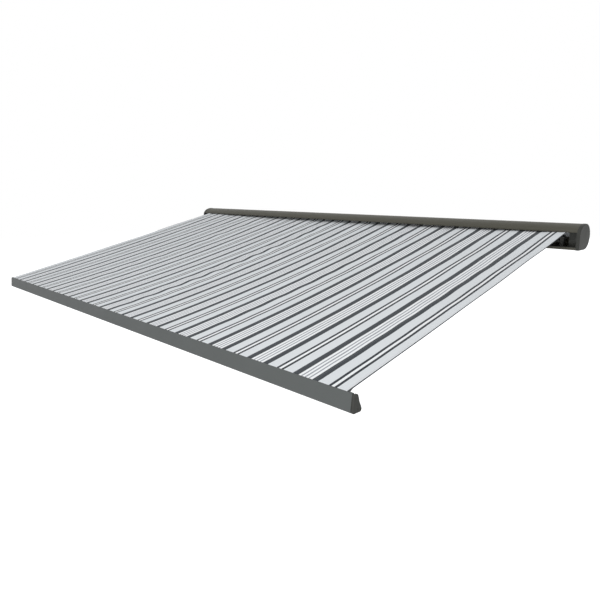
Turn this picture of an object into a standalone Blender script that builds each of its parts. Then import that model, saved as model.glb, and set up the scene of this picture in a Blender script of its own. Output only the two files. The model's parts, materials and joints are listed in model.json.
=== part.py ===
"""Folding-arm awning with a full cassette, fully extended, on its wall brackets and without the wall.

Metres. X runs along the cassette, the wall is the plane y = 0 and the awning is on its -Y side, Z is up.
The slope plane is the plane of the stretched fabric: s runs down it from the lip, h is the height over it.
"""
import math

import bmesh
import bpy
from mathutils import Matrix, Vector

# Driving sizes of the whole awning
WIDTH = 4.96
PITCH = math.radians(13.3)
FABRIC_INSET = 0.105
FABRIC_WIDTH = WIDTH - 2 * FABRIC_INSET
FABRIC_SAG = 0.040
FABRIC_THICK = 0.001
GAP = 0.0003

# Cassette: a D-shaped section round a tilt axis that lies CASSETTE_OUT from the wall
CASSETTE_OUT = 0.1325
CASSETTE_R = 0.0995
CASSETTE_FRONT = 0.250
SKIN = 0.003
LIP_OUT = 0.245
LIP_Z = 0.0345
LIP_BEAD_R = 0.0035
NOSE_HIGH = 0.012
HOOD_PULL = (0.045, 0.012, 0.030)
HOOD_SPLIT = math.radians(82)
RIM_HEIGHT = 0.020
RIM_FILLET = 0.008
FABRIC_UNDER_LIP = 0.004
GROOVE_DEPTH = 0.005
TRACK_HEIGHT = 0.005
TRACK_WIDTH = 0.003

# End caps
CAP_THICK = 0.025
CAP_PROUD = 0.0015
CAP_FRONT = 0.0065
CAP_KNEE = 0.010
CAP_PULL = (0.052, 0.074)
CAP_EDGE = 0.006
CAP_WALL = 0.005
CAP_POCKET = 0.016

# Wall brackets and their pitch adjustment
BRACKET_PLACES = {"left": -1.9, "middle": 0.0, "right": 1.9}
BRACKET_WIDTH = 0.12
BRACKET_HEIGHT = 0.176
PLATE_THICK = 0.008
FLANGE = 0.028
CRADLE_THICK = 0.010
CRADLE_END = math.radians(60)
CLAW_ANGLE = math.radians(5)
CLAW_REACH = 0.0045
TILT_DOWN = math.radians(17)
TILT_UP = math.radians(8)
TILT_SPARE = math.radians(1)
WALL_BOLT_R = 0.004
WALL_BOLT_HEAD = 0.0075
WALL_BOLT_HEAD_HIGH = 0.006
WALL_BOLT_SPREAD = 0.035
WALL_BOLTS = {"upper_a": (-WALL_BOLT_SPREAD, 1), "upper_b": (WALL_BOLT_SPREAD, 1), "lower": (0, -1)}
LOCK_ANGLE = math.radians(-40)
LOCK_R = 0.004
LOCK_HEAD_R = 0.0072
LOCK_HEAD_HIGH = 0.006

# Roller, its two carriers and the tube motor
ROLLER_BACK = 0.145
ROLLER_TOP = 0.005
TUBE_R = 0.039
TUBE_WALL = 0.0015
ROLL_WRAP = 0.002
ROLL_R = TUBE_R + ROLL_WRAP
TUBE_SPARE = 0.017
TUBE_LENGTH = FABRIC_WIDTH + 2 * TUBE_SPARE
CARRIER_THICK = 0.008
CARRIER_ARC = math.radians(31)
CARRIER_BOSS_R = 0.026
MOTOR_R = 0.0225
MOTOR_HEAD_R = 0.031
MOTOR_LENGTH = 0.60
MOTOR_SHAFT_R = 0.008
MOTOR_EDGE = 0.003
MOTOR_STEP = 0.004
WHEEL_THICK = 0.025
IDLER_DEPTH = 0.060
IDLER_AXLE_R = 0.009
IDLER_FLANGE = 0.010
IDLER_EDGE = 0.001
GLAND_X = 2.30
GLAND_ANGLE = math.radians(-18)
GLAND_R = 0.009
GLAND_CORD_R = 0.0035
GLAND_FLANGE = 0.004
GLAND_NUT = 0.014

# Folding arms: the tubes' middle plane lies ARM_DROP under the slope plane
ARM_INSET = 0.105
ARM_X = FABRIC_WIDTH / 2 - ARM_INSET
ARM_DROP = 0.076
ARM_BACK = 0.080
ARM_LENGTH = 1.380
ARM_OPEN = math.radians(75)
ELBOW_OFFSET = 0.024
ARM_WIDE = 0.042
ARM_HIGH = 0.046
ARM_WALL = 0.0025
ARM_FILLET = 0.008
PLUG_SHRINK = ARM_WALL + GAP
PLUG_DEPTH = 0.032
PLUG_OVERLAP = 0.004
LUG_INSET = 0.002
LUG_OVERLAP = 0.006
EYE_R = 0.021
EYE_THICK = 0.0220
CHEEK_R = 0.022
SHOULDER_ROOT = 0.032
SHOULDER_BLOCK = 0.030
ELBOW_ROOT = 0.030
ELBOW_BLOCK = 0.045
WRIST_ROOT = 0.030
WRIST_BLOCK = 0.030
PIN_R = 0.006
PIN_HEAD_R = 0.0095
PIN_HEAD_HIGH = 0.0025
PEDESTAL_WIDE = 0.034
SPRING_R = 0.0120
SPRING_WIRE_R = 0.0016
SPRING_TURNS = 18
SPRING_LENGTH = 0.420
SPRING_POINTS_PER_TURN = 6

# Front bar: a is measured outwards and b upwards from where the fabric enters it
BAR_INSET = 0.076
BAR_LENGTH = WIDTH - 2 * BAR_INSET
BAR_AHEAD = 0.038
BAR_CAP_THICK = 0.016
BAR_CAP_EDGE = 0.003
BAR_SLOT_A = 0.0065
BAR_SLOT_WIDE = 0.0032
BAR_TOP = 0.0015
HEM_ROD_R = 0.0040
HEM_ROD_DROP = 0.0085
WRIST_CHEEK_THICK = 0.008
WRIST_PAD_WIDE = 0.070
WRIST_PAD_HIGH = 0.016
WRIST_PAD_THICK = 0.0106
WRIST_CLEVIS_ROOT = 0.024
WRIST_WEB = 0.007
FABRIC_STEPS = 26
FABRIC_LANDING = 0.006
FABRIC_TURN_R = 0.0015

# Stripe pattern of the fabric: where each band begins, as a share of one repeat, and its colour
REPEATS = 12.52
WHITE = (0.76, 0.77, 0.78, 1)
GREY = (0.62, 0.64, 0.66, 1)
DARK = (0.09, 0.095, 0.105, 1)
THIN = (0.15, 0.16, 0.17, 1)
BANDS = [(0.0, WHITE), (0.0295, DARK), (0.0645, GREY), (0.265, DARK), (0.365, WHITE), (0.4195, THIN),
         (0.4445, WHITE), (0.4875, THIN), (0.5125, WHITE), (0.5555, THIN), (0.5805, WHITE), (0.635, DARK),
         (0.735, GREY), (0.9355, DARK), (0.9705, WHITE)]

ROUND = 16
FINE_ROUND = 32

OUT = Vector((0, -math.cos(PITCH), -math.sin(PITCH)))
NORMAL = Vector((0, -math.sin(PITCH), math.cos(PITCH)))
ALONG = Vector((1, 0, 0))
TILT_AXIS = Vector((0, -CASSETTE_OUT, 0))
SLOPE_ORIGIN = Vector((0, -LIP_OUT, LIP_Z - FABRIC_UNDER_LIP))
FLOOR_TOP = -CASSETTE_R + SKIN
CASSETTE_END = WIDTH / 2 - CAP_THICK - GAP
BOLT_Z = BRACKET_HEIGHT / 2 - FLANGE / 2
EYE_SLOT = EYE_THICK / 2 + GAP
ARM_RUN = math.sqrt(ARM_LENGTH ** 2 - ELBOW_OFFSET ** 2)
ARM_REACH = 2 * (ARM_RUN * math.sin(ARM_OPEN) + ELBOW_OFFSET * math.cos(ARM_OPEN))
PROJECTION = ARM_REACH - ARM_BACK + BAR_AHEAD

for old in list(bpy.data.objects):
    bpy.data.objects.remove(old, do_unlink=True)

parts = bpy.data.collections.new("folding_arm_awning")
tools = bpy.data.collections.new("cutters")
bpy.context.scene.collection.children.link(parts)
bpy.context.scene.collection.children.link(tools)


# Materials

def plain_material(name, colour, roughness, metallic):
    made = bpy.data.materials.new(name)
    made.use_nodes = True
    shader = made.node_tree.nodes["Principled BSDF"]
    shader.inputs["Base Color"].default_value = (*colour, 1)
    shader.inputs["Roughness"].default_value = roughness
    shader.inputs["Metallic"].default_value = metallic
    return made


def stripe_material():
    """White and light grey cloth with dark pairs, broad dark bands and groups of thin lines."""
    made = plain_material("striped_fabric", GREY[:3], 0.9, 0.0)
    nodes = made.node_tree.nodes
    links = made.node_tree.links
    place = nodes.new("ShaderNodeTexCoord")
    split = nodes.new("ShaderNodeSeparateXYZ")
    scale = nodes.new("ShaderNodeMath")
    scale.operation = "DIVIDE"
    scale.inputs[1].default_value = FABRIC_WIDTH / REPEATS
    part_of = nodes.new("ShaderNodeMath")
    part_of.operation = "FRACT"
    ramp = nodes.new("ShaderNodeValToRGB")
    ramp.color_ramp.interpolation = "CONSTANT"
    ramp.color_ramp.elements.remove(ramp.color_ramp.elements[1])
    ramp.color_ramp.elements[0].color = BANDS[0][1]
    for begin, colour in BANDS[1:]:
        band = ramp.color_ramp.elements.new(begin)
        band.color = colour
    links.new(place.outputs["Object"], split.inputs[0])
    links.new(split.outputs["X"], scale.inputs[0])
    links.new(scale.outputs[0], part_of.inputs[0])
    links.new(part_of.outputs[0], ramp.inputs["Fac"])
    links.new(ramp.outputs["Color"], nodes["Principled BSDF"].inputs["Base Color"])
    return made


COAT = plain_material("coated_aluminium", (0.095, 0.090, 0.075), 0.45, 0.0)
BAR_COAT = plain_material("coated_bar", (0.14, 0.145, 0.14), 0.45, 0.0)
CAP_COAT = plain_material("coated_cap", (0.092, 0.093, 0.085), 0.5, 0.0)
ARM_COAT = plain_material("coated_arm", (0.11, 0.11, 0.10), 0.45, 0.0)
CAST = plain_material("coated_casting", (0.085, 0.085, 0.078), 0.55, 0.0)
STEEL = plain_material("zinc_steel", (0.45, 0.45, 0.44), 0.35, 1.0)
TUBE_STEEL = plain_material("roller_steel", (0.50, 0.50, 0.50), 0.4, 1.0)
PLASTIC = plain_material("black_plastic", (0.02, 0.02, 0.021), 0.5, 0.0)
STRIPES = stripe_material()


# Outlines, as lists of (u, v) points

def arc(u, v, radius, start, end, steps):
    return [(u + radius * math.cos(start + (end - start) * i / steps),
             v + radius * math.sin(start + (end - start) * i / steps)) for i in range(steps + 1)]


def circle(u, v, radius, sides=ROUND):
    return arc(u, v, radius, 0, 2 * math.pi * (sides - 1) / sides, sides - 1)


def rectangle(u0, v0, u1, v1):
    return [(u0, v0), (u1, v0), (u1, v1), (u0, v1)]


def fillet(points, radii, steps=4):
    """Rounds the corners of a closed outline; radii is one radius or one for each corner."""
    if not isinstance(radii, (list, tuple)):
        radii = [radii] * len(points)
    rounded = []
    for i, (corner, radius) in enumerate(zip(points, radii)):
        here = Vector(corner)
        back = (Vector(points[i - 1]) - here).normalized()
        ahead = (Vector(points[(i + 1) % len(points)]) - here).normalized()
        half = back.angle(ahead) / 2
        middle = here + (back + ahead).normalized() * (radius / math.sin(half))
        reach = radius / math.tan(half)
        start = here + back * reach - middle
        sweep = start.angle_signed(here + ahead * reach - middle)
        for step in range(steps + 1):
            turn = Matrix.Rotation(-sweep * step / steps, 2)
            rounded.append(tuple(middle + turn @ start))
    return rounded


def hull(points):
    """The convex outline round some points, anticlockwise."""
    ordered = sorted(set((round(u, 7), round(v, 7)) for u, v in points))

    def half(sequence):
        chain = []
        for point in sequence:
            while len(chain) > 1:
                (au, av), (bu, bv) = chain[-2], chain[-1]
                if (bu - au) * (point[1] - av) - (bv - av) * (point[0] - au) > 0:
                    break
                chain.pop()
            chain.append(point)
        return chain[:-1]

    return half(ordered) + half(ordered[::-1])


def bezier(p0, p1, p2, p3, steps):
    points = []
    for i in range(steps + 1):
        t = i / steps
        weights = ((1 - t) ** 3, 3 * t * (1 - t) ** 2, 3 * t * t * (1 - t), t ** 3)
        points.append(tuple(sum(w * p[axis] for w, p in zip(weights, (p0, p1, p2, p3))) for axis in (0, 1)))
    return points


# Placing

def frame_at(origin, along, across):
    """A placing matrix whose local X is along, local Y is across."""
    along = Vector(along).normalized()
    across = Vector(across).normalized()
    upright = along.cross(across)
    turn = Matrix((along, across, upright)).transposed().to_4x4()
    return Matrix.Translation(origin) @ turn


def section_frame(x):
    """Local X is the world's Y and local Y is the world's Z, so that an outline is a cross section at x."""
    return frame_at((x, 0, 0), (0, 1, 0), (0, 0, 1))


def on_slope(x, s, h):
    return SLOPE_ORIGIN + ALONG * x + OUT * s + NORMAL * h


def empty(name, frame):
    made = bpy.data.objects.new(name, None)
    made.empty_display_size = 0.05
    parts.objects.link(made)
    made.matrix_world = frame
    return made


def adopt(parent, *children):
    bpy.context.view_layer.update()
    for child in children:
        child.parent = parent
        child.matrix_parent_inverse = parent.matrix_world.inverted()


# Making solids

def add_object(name, mesh, frame, material):
    made = bpy.data.objects.new(name, mesh)
    parts.objects.link(made)
    made.matrix_world = frame
    mesh.materials.clear()
    mesh.materials.append(material)
    return made


def smooth(made, angle=35):
    made.data.shade_smooth()
    made.data.set_sharp_from_angle(angle=math.radians(angle))
    return made


def extrusion(name, outlines, depth, frame, material):
    """A flat outline, with any holes in it, given a thickness of depth about the frame's XY plane."""
    curve = bpy.data.curves.new(name + "_outline", "CURVE")
    curve.dimensions = "2D"
    curve.fill_mode = "BOTH"
    curve.extrude = depth / 2
    for outline in outlines:
        spline = curve.splines.new("POLY")
        spline.points.add(len(outline) - 1)
        for point, (u, v) in zip(spline.points, outline):
            point.co = (u, v, 0, 1)
        spline.use_cyclic_u = True
    return mesh_from_curve(name, curve, frame, material)


def mesh_from_curve(name, curve, frame, material):
    carrier = bpy.data.objects.new(name + "_curve", curve)
    tools.objects.link(carrier)
    bpy.context.view_layer.update()
    evaluated = carrier.evaluated_get(bpy.context.evaluated_depsgraph_get())
    mesh = bpy.data.meshes.new_from_object(evaluated)
    bpy.data.objects.remove(carrier, do_unlink=True)
    work = bmesh.new()
    work.from_mesh(mesh)
    bmesh.ops.remove_doubles(work, verts=work.verts, dist=1e-5)
    bmesh.ops.recalc_face_normals(work, faces=work.faces)
    work.to_mesh(mesh)
    work.free()
    mesh.name = name
    return smooth(add_object(name, mesh, frame, material))


def box(name, low, high, frame, material, bevel=0.0):
    work = bmesh.new()
    bmesh.ops.create_cube(work, size=1)
    size = Vector(high) - Vector(low)
    middle = (Vector(high) + Vector(low)) / 2
    bmesh.ops.scale(work, vec=size, verts=work.verts)
    bmesh.ops.translate(work, vec=middle, verts=work.verts)
    if bevel:
        bmesh.ops.bevel(work, geom=work.edges, offset=bevel, segments=2, profile=0.5, affect="EDGES")
    mesh = bpy.data.meshes.new(name)
    work.to_mesh(mesh)
    work.free()
    return add_object(name, mesh, frame, material)


def rod(name, radius, start, end, frame, material, sides=ROUND):
    """A cylinder round the frame's Z axis from start to end."""
    work = bmesh.new()
    bmesh.ops.create_cone(work, cap_ends=True, segments=sides, radius1=radius, radius2=radius, depth=end - start)
    bmesh.ops.translate(work, vec=(0, 0, (start + end) / 2), verts=work.verts)
    mesh = bpy.data.meshes.new(name)
    work.to_mesh(mesh)
    work.free()
    return smooth(add_object(name, mesh, frame, material))


def turned(name, profile, frame, material, steps=ROUND):
    """Turns (radius, height) points, listed top to bottom, round the frame's Z axis."""
    work = bmesh.new()
    corners = [work.verts.new((radius, 0, height)) for radius, height in profile]
    for first, second in zip(corners, corners[1:]):
        work.edges.new((first, second))
    mesh = bpy.data.meshes.new(name)
    work.to_mesh(mesh)
    work.free()
    made = add_object(name, mesh, frame, material)
    screw = made.modifiers.new("turn", "SCREW")
    screw.steps = steps
    screw.render_steps = steps
    screw.use_merge_vertices = True
    screw.merge_threshold = 1e-5
    screw.use_smooth_shade = False
    return made


def bent_sheet(name, path, x0, x1, thickness, offset, material):
    """A sheet that follows a path of (y, z) points and runs from x0 to x1."""
    work = bmesh.new()
    corners = [work.verts.new((x0, y, z)) for y, z in path]
    edges = [work.edges.new(pair) for pair in zip(corners, corners[1:])]
    swept = bmesh.ops.extrude_edge_only(work, edges=edges)["geom"]
    moved = [item for item in swept if isinstance(item, bmesh.types.BMVert)]
    bmesh.ops.translate(work, vec=(x1 - x0, 0, 0), verts=moved)
    mesh = bpy.data.meshes.new(name)
    work.to_mesh(mesh)
    work.free()
    made = smooth(add_object(name, mesh, Matrix.Identity(4), material))
    solid = made.modifiers.new("skin", "SOLIDIFY")
    solid.thickness = thickness
    solid.offset = offset
    solid.use_even_offset = True
    return made


def combine(target, tool, operation):
    """Joins a tool to the target or cuts it away, and puts the tool out of sight."""
    step = target.modifiers.new(tool.name, "BOOLEAN")
    step.operation = operation
    step.solver = "EXACT"
    step.object = tool
    for holder in list(tool.users_collection):
        holder.objects.unlink(tool)
    tools.objects.link(tool)
    tool.hide_render = True
    tool.display_type = "WIRE"
    return target


def join(target, *others):
    for other in others:
        combine(target, other, "UNION")
    return target


def cut(target, *cutters):
    for cutter in cutters:
        combine(target, cutter, "DIFFERENCE")
    return target


def mirrored(made, name):
    """The other side's piece: reflected in the plane x = 0, with a proper frame of its own."""
    bpy.context.view_layer.update()
    evaluated = made.evaluated_get(bpy.context.evaluated_depsgraph_get())
    mesh = bpy.data.meshes.new_from_object(evaluated)
    flip = Matrix.Scale(-1, 4, (0, 0, 1))
    mesh.transform(flip)
    mesh.flip_normals()
    mesh.name = name
    across = Matrix.Scale(-1, 4, (1, 0, 0))
    copy = bpy.data.objects.new(name, mesh)
    parts.objects.link(copy)
    copy.matrix_world = across @ made.matrix_world @ flip
    return copy


# Cassette

def back_point(angle, radius):
    return (-CASSETTE_OUT + radius * math.cos(angle), radius * math.sin(angle))


def back_arc(radius, start, end, steps):
    return arc(-CASSETTE_OUT, 0, radius, start, end, steps)


def claw_groove(upper):
    """The angles of the groove in the cassette's back that one claw of the brackets runs in."""
    side = 1 if upper else -1
    inner = side * (CRADLE_END - CLAW_ANGLE)
    outer = side * CRADLE_END
    low = min(inner, outer) - TILT_DOWN - TILT_SPARE
    high = max(inner, outer) + TILT_UP + TILT_SPARE
    return low, high


def cassette_back_path():
    """The outer skin from the hood's seam, round the back and along the floor to the front rim."""
    upper_low, upper_high = claw_groove(True)
    lower_low, lower_high = claw_groove(False)
    deep = CASSETTE_R - GROOVE_DEPTH
    path = back_arc(CASSETTE_R, HOOD_SPLIT, upper_high, 2)
    path += back_arc(deep, upper_high, upper_low, 6)
    path += back_arc(CASSETTE_R, upper_low, lower_high, 18)
    path += back_arc(deep, lower_high, lower_low, 6)
    path += back_arc(CASSETTE_R, lower_low, -math.pi / 2, 1)
    path += arc(-CASSETTE_FRONT + RIM_FILLET, -CASSETTE_R + RIM_FILLET, RIM_FILLET,
                -math.pi / 2, -math.pi, 4)
    path.append((-CASSETTE_FRONT, -CASSETTE_R + RIM_HEIGHT))
    return path


def make_cassette_back():
    made = bent_sheet("cassette_back", cassette_back_path(), -CASSETTE_END, CASSETTE_END, SKIN, -1, COAT)
    foot = on_slope(0, -ARM_BACK, -ARM_DROP).y
    for number, edge in enumerate((-PEDESTAL_WIDE / 2 - GAP - TRACK_WIDTH, PEDESTAL_WIDE / 2 + GAP)):
        rib = box(f"bracket_track_{number}", (-CASSETTE_END, foot + edge, FLOOR_TOP - SKIN / 2),
                  (CASSETTE_END, foot + edge + TRACK_WIDTH, FLOOR_TOP + TRACK_HEIGHT),
                  Matrix.Identity(4), COAT)
        join(made, rib)
    return made


def hood_path(crest_back):
    crest = (-CASSETTE_OUT, CASSETTE_R)
    nose = (-LIP_OUT, LIP_Z + NOSE_HIGH)
    crest_pull, nose_pull, nose_rise = HOOD_PULL
    path = back_arc(CASSETTE_R, crest_back, math.pi / 2, 3)[:-1]
    path += bezier(crest, (crest[0] - crest_pull, crest[1]), (nose[0] + nose_pull, nose[1] + nose_rise), nose, 10)
    path.append((-LIP_OUT, LIP_Z + LIP_BEAD_R))
    return path


def make_cassette_cover():
    seam = HOOD_SPLIT + GAP / CASSETTE_R
    made = bent_sheet("cassette_cover", hood_path(seam), -CASSETTE_END, CASSETTE_END, SKIN, 1, COAT)
    bead = extrusion("lip_bead", [circle(-LIP_OUT + LIP_BEAD_R * 0.8, LIP_Z + LIP_BEAD_R, LIP_BEAD_R, 12)],
                     2 * CASSETTE_END, section_frame(0), COAT)
    return join(made, bead)


def cap_outline(inset):
    """The end cap's D shape, drawn inside its outer edge by inset."""
    radius = CASSETTE_R + CAP_PROUD - inset
    front = -CASSETTE_FRONT - CAP_FRONT + inset
    corner = CAP_EDGE + RIM_FILLET
    outline = back_arc(radius, -math.pi / 2, math.pi / 2, 28)
    crest = outline[-1]
    knee = (front, CAP_KNEE)
    crest_pull, knee_pull = CAP_PULL
    outline += bezier(crest, (crest[0] - crest_pull, crest[1]), (front, knee_pull - inset), knee, 12)[1:]
    outline += arc(front + corner, -radius + corner, corner, math.pi, 1.5 * math.pi, 5)
    return outline


def round_rim(made, face_z, radius, segments):
    """Rounds the edges of the flat face of an extrusion that lies at local z = face_z."""
    work = bmesh.new()
    work.from_mesh(made.data)
    rim = [edge for edge in work.edges if all(abs(vert.co.z - face_z) < 1e-6 for vert in edge.verts)
           and len(edge.link_faces) == 2
           and any(abs(face.normal.z) < 0.5 for face in edge.link_faces)]
    bmesh.ops.bevel(work, geom=rim, offset=radius, segments=segments, profile=0.5, affect="EDGES")
    work.to_mesh(made.data)
    work.free()
    return smooth(made)


def make_end_cap():
    inner = WIDTH / 2 - CAP_THICK
    middle = section_frame(inner + CAP_THICK / 2)
    made = extrusion("end_cap_right", [cap_outline(0)], CAP_THICK, middle, CAP_COAT)
    round_rim(made, CAP_THICK / 2, CAP_EDGE, 3)
    inside = cap_outline(CAP_WALL + CAP_EDGE)
    pocket = extrusion("cap_pocket", [inside], 2 * CAP_POCKET, section_frame(inner), CAP_COAT)
    return cut(made, pocket)


# Wall brackets

def bracket_outline():
    """Wall plate with a flange at each end, and a cradle whose claws hold the cassette's round back."""
    half = BRACKET_HEIGHT / 2
    bore = CASSETTE_R + GAP
    outer = CASSETTE_R + GAP + CRADLE_THICK
    web = math.asin((half - FLANGE) / outer)
    claw = CASSETTE_R - CLAW_REACH
    inside = CRADLE_END - CLAW_ANGLE
    outline = [(0, -half), (0, half), (-PLATE_THICK, half), (-PLATE_THICK, half - FLANGE)]
    outline += back_arc(outer, web, CRADLE_END, 6)
    outline += back_arc(claw, CRADLE_END, inside, 1)
    outline += back_arc(bore, inside, -inside, 28)
    outline += back_arc(claw, -inside, -CRADLE_END, 1)
    outline += back_arc(outer, -CRADLE_END, -web, 6)
    outline += [(-PLATE_THICK, FLANGE - half), (-PLATE_THICK, -half)]
    return outline


def radial_frame(x, angle):
    """Local Z points out of the cassette's round back at an angle over the horizontal."""
    outwards = Vector((0, math.cos(angle), math.sin(angle)))
    return frame_at(TILT_AXIS + ALONG * x, ALONG, outwards.cross(ALONG))


def make_wall_bracket(side, x):
    made = extrusion(f"wall_bracket_{side}", [bracket_outline()], BRACKET_WIDTH, section_frame(x), CAST)
    for name, (across, up) in WALL_BOLTS.items():
        hole = rod(f"bolt_hole_{side}_{name}", WALL_BOLT_R + GAP, -2 * PLATE_THICK, PLATE_THICK,
                   frame_at((x + across, 0, up * BOLT_Z), (0, 0, 1), (1, 0, 0)), CAST)
        cut(made, hole)
    thread = rod(f"lock_hole_{side}", LOCK_R + GAP, CASSETTE_R - CRADLE_THICK, CASSETTE_R + 2 * CRADLE_THICK,
                 radial_frame(x, LOCK_ANGLE), CAST)
    cut(made, thread)
    return made


def make_lock_screw(side, x):
    start = CASSETTE_R + 2 * GAP
    seat = CASSETTE_R + 2 * GAP + CRADLE_THICK
    frame = radial_frame(x, LOCK_ANGLE)
    made = rod(f"pitch_lock_screw_{side}", LOCK_R, start, seat + LOCK_HEAD_HIGH / 2, frame, STEEL)
    head = rod(f"lock_head_{side}", LOCK_HEAD_R, seat, seat + LOCK_HEAD_HIGH, frame, STEEL, sides=6)
    return join(made, head)


def make_wall_bolt(name, x, z):
    """A hexagon bolt whose shank fills the plate's hole; its anchor in the wall isn't part of the awning."""
    frame = frame_at((x, 0, z), (0, 0, 1), (-1, 0, 0))
    seat = PLATE_THICK + GAP
    made = rod(name, WALL_BOLT_R, GAP, seat + WALL_BOLT_HEAD_HIGH / 2, frame, STEEL)
    head = rod(name + "_head", WALL_BOLT_HEAD, seat, seat + WALL_BOLT_HEAD_HIGH, frame, STEEL, sides=6)
    return join(made, head)


# Roller and its drive

def roller_axis():
    return on_slope(0, -ROLLER_BACK, ROLLER_TOP - ROLL_R)


def axle_frame(x):
    """Local Z is the world's X and the origin is on the roller's axis."""
    axis = roller_axis()
    return frame_at((x, axis.y, axis.z), (0, 1, 0), (0, 0, 1))


def make_carrier():
    """The plate that carries the roller's end: it seats on the end cap and on the cassette's round back."""
    outer = CASSETTE_R - SKIN - GAP
    axis = roller_axis()
    x = CASSETTE_END - CARRIER_THICK / 2
    outline = hull(back_arc(outer, -CARRIER_ARC, CARRIER_ARC, 14) + circle(axis.y, axis.z, CARRIER_BOSS_R))
    made = extrusion("roller_bracket_right", [outline], CARRIER_THICK, section_frame(x), CAST)
    bore = rod("carrier_bore", IDLER_AXLE_R + GAP, -CARRIER_THICK, CARRIER_THICK, axle_frame(x), CAST)
    return cut(made, bore)


def make_roller():
    half = TUBE_LENGTH / 2
    axis = roller_axis()
    ring = [circle(axis.y, axis.z, TUBE_R, FINE_ROUND), circle(axis.y, axis.z, TUBE_R - TUBE_WALL, FINE_ROUND)]
    tube = extrusion("roller_tube", ring, TUBE_LENGTH, section_frame(0), TUBE_STEEL)
    cloth = [circle(axis.y, axis.z, ROLL_R, FINE_ROUND), circle(axis.y, axis.z, TUBE_R + GAP, FINE_ROUND)]
    roll = extrusion("fabric_roll", cloth, FABRIC_WIDTH, section_frame(0), STRIPES)
    inside = TUBE_R - TUBE_WALL - 2 * GAP
    reach = CASSETTE_END - half - GAP
    idler = turned("idler_plug", [(0, reach), (IDLER_AXLE_R - IDLER_EDGE, reach), (IDLER_AXLE_R, reach - IDLER_EDGE),
                                  (IDLER_AXLE_R, IDLER_FLANGE), (TUBE_R, IDLER_FLANGE), (TUBE_R, GAP), (inside, GAP),
                                  (inside, -IDLER_DEPTH), (0, -IDLER_DEPTH)],
                   axle_frame(-half) @ Matrix.Rotation(math.pi, 4, "X"), PLASTIC, FINE_ROUND)
    wheel_x = half - MOTOR_LENGTH - WHEEL_THICK
    wheel = extrusion("drive_wheel", [circle(axis.y, axis.z, inside, FINE_ROUND),
                                      circle(axis.y, axis.z, MOTOR_SHAFT_R + GAP)],
                      WHEEL_THICK, section_frame(wheel_x), PLASTIC)
    return tube, roll, idler, wheel


def make_motor():
    """The tube motor: a head seated on the carrier, a body inside the tube and a short drive shaft."""
    half = TUBE_LENGTH / 2
    seat = CASSETTE_END - CARRIER_THICK - GAP
    head_in = half + MOTOR_STEP
    stub = seat + CARRIER_THICK / 2
    head = turned("motor_head", [(0, stub), (IDLER_AXLE_R, stub), (IDLER_AXLE_R, seat),
                                 (MOTOR_HEAD_R - MOTOR_EDGE, seat), (MOTOR_HEAD_R, seat - MOTOR_EDGE),
                                 (MOTOR_HEAD_R, head_in), (0, head_in)],
                  axle_frame(0), PLASTIC, FINE_ROUND)
    body_end = half - MOTOR_LENGTH
    body = turned("motor_body", [(0, head_in - GAP), (MOTOR_R, head_in - GAP), (MOTOR_R, body_end),
                                 (MOTOR_SHAFT_R, body_end), (MOTOR_SHAFT_R, body_end - 1.5 * WHEEL_THICK - GAP),
                                 (0, body_end - 1.5 * WHEEL_THICK - GAP)],
                  axle_frame(0), STEEL, ROUND)
    return head, body


def make_gland():
    """The motor cable's way out, in the cassette's back: a flange outside, a domed nut and a bore."""
    frame = radial_frame(GLAND_X, GLAND_ANGLE)
    seat = CASSETTE_R + GAP
    flange_top = seat + GLAND_FLANGE
    nut_top = seat + GLAND_NUT
    inner_end = seat - SKIN - GLAND_FLANGE
    neck = GLAND_R * 0.7
    profile = [(GLAND_CORD_R, nut_top), (GLAND_R * 0.6, nut_top), (GLAND_R * 0.9, nut_top - GLAND_FLANGE),
               (GLAND_R, flange_top), (GLAND_R * 1.3, flange_top), (GLAND_R * 1.3, seat),
               (neck, seat), (neck, inner_end), (GLAND_CORD_R, inner_end), (GLAND_CORD_R, nut_top)]
    made = turned("cable_gland", profile, frame, PLASTIC)
    hole = rod("gland_hole", neck + GAP, CASSETTE_R - 2 * SKIN, CASSETTE_R + 2 * SKIN, frame, COAT)
    return made, hole


# Folding arms, drawn for the right side

def plane_frame(x, s, h):
    """Local X along the cassette, local Y down the slope, local Z downwards, square to the slope."""
    return frame_at(on_slope(x, s, h), ALONG, OUT)


def upper_arm_frame():
    along = ALONG * -math.cos(ARM_OPEN) + OUT * math.sin(ARM_OPEN)
    across = OUT * math.cos(ARM_OPEN) + ALONG * math.sin(ARM_OPEN)
    return frame_at(on_slope(ARM_X, -ARM_BACK, -ARM_DROP), along, across)


def forearm_frame():
    along = ALONG * math.cos(ARM_OPEN) + OUT * math.sin(ARM_OPEN)
    across = OUT * math.cos(ARM_OPEN) - ALONG * math.sin(ARM_OPEN)
    elbow = upper_arm_frame() @ Vector((ARM_RUN, ELBOW_OFFSET, 0))
    return frame_at(elbow, along, across)


def wrist_point():
    return forearm_frame() @ Vector((ARM_RUN, ELBOW_OFFSET, 0))


def shifted(frame, x, y, z=0.0):
    return frame @ Matrix.Translation((x, y, z))


def tube_frame(frame, x, y):
    """Local X across the tube, local Y its height and local Z along it, for a tube section."""
    return shifted(frame, x, y) @ frame_at((0, 0, 0), (0, 1, 0), (0, 0, 1))


def tube_outline(shrink, radius):
    wide = ARM_WIDE / 2 - shrink
    high = ARM_HIGH / 2 - shrink
    return fillet(rectangle(-wide, -high, wide, high), radius)


def make_tube(name, frame, start, end, centre):
    outlines = [tube_outline(0, ARM_FILLET), tube_outline(ARM_WALL, ARM_FILLET - ARM_WALL)]
    return extrusion(name, outlines, end - start, tube_frame(frame, (start + end) / 2, centre), ARM_COAT)


def solid_length(name, frame, start, end, centre, shrink):
    radius = ARM_FILLET - shrink
    return extrusion(name, [tube_outline(shrink, radius)], end - start,
                     tube_frame(frame, (start + end) / 2, centre), CAST)


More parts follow.
